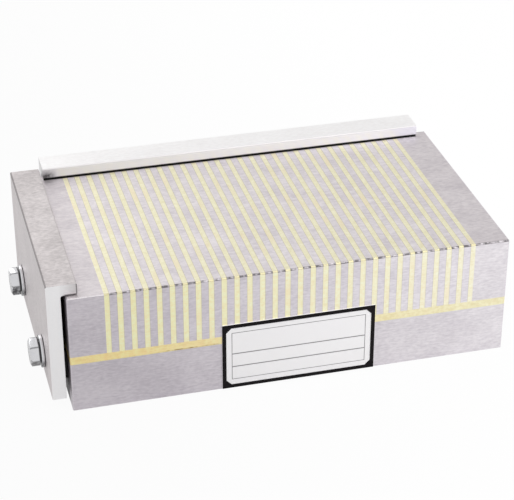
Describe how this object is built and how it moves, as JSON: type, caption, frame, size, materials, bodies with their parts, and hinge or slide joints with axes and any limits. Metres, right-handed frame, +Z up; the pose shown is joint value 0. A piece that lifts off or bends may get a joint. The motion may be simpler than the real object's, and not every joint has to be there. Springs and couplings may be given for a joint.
{
  "type": "magnetic chuck",
  "caption": "Rectangular permanent magnetic chuck: brass-striped work face, brass separator, L-section side and back stops on hex bolts, and a key-turned shaft that slides the magnet pack.",
  "frame": {"origin": "centre of the block's underside, on the surface that it stands on", "axes": "+X along the block, away from the side stop and towards the key socket; +Y towards the back stop; +Z up, out of the work face"},
  "size_m": [0.1878, 0.1146, 0.0548],
  "materials": {
    "ground_steel": "fine ground, light grey",
    "brass": "ground, pale yellow",
    "name_plate": "printed white sheet with a black border",
    "bright_bolt": "bright plated",
    "dark_screw": "blackened",
    "bronze": "plain bearing bronze",
    "magnet": "dark ceramic",
    "shaft_steel": "turned"
  },
  "bodies": {
    "block": {"base_block": "ground_steel", "separator_frame": "brass", "end_block_left": "ground_steel", "end_block_right": "ground_steel", "brass_strips": "brass", "steel_laminations": "ground_steel", "top_plate_screws": "dark_screw", "stop_bolts": "bright_bolt", "stop_washers": "bright_bolt", "side_spacer_bar": "ground_steel", "back_spacer_bar": "ground_steel", "name_plate": "name_plate", "shaft_bush": "bronze", "gland_ring": "shaft_steel", "runner_strips": "bronze"},
    "side_stop": {"side_stop": "ground_steel"},
    "back_stop": {"back_stop": "ground_steel"},
    "shaft": {"operating_shaft": "shaft_steel"},
    "magnet_pack": {"pole_plates": "shaft_steel", "pack_magnets": "magnet", "pack_rail_front": "brass", "pack_rail_back": "brass", "pack_plate_left": "brass", "pack_plate_right": "brass", "follower_arm": "shaft_steel", "follower_pin": "shaft_steel"}
  },
  "joints": [
    {"name": "shaft_turn", "type": "hinge", "parent": "block", "child": "shaft", "pos_m": [0.0873, 0, 0.0104], "axis": [1, 0, 0], "range_deg": [0, 180]},
    {"name": "pack_slide", "type": "slide", "parent": "block", "child": "magnet_pack", "axis": [1, 0, 0], "range_m": [0, 0.0025]},
    {"name": "side_stop_slide", "type": "slide", "parent": "block", "child": "side_stop", "axis": [0, 0, 1], "range_m": [0, 0.0032]},
    {"name": "back_stop_slide", "type": "slide", "parent": "block", "child": "back_stop", "axis": [0, 0, 1], "range_m": [0, 0.0032]}
  ],
  "couplings": [
    {"joint": "shaft_turn", "follows": "pack_slide", "rad_per_m": 1256.6}
  ]
}
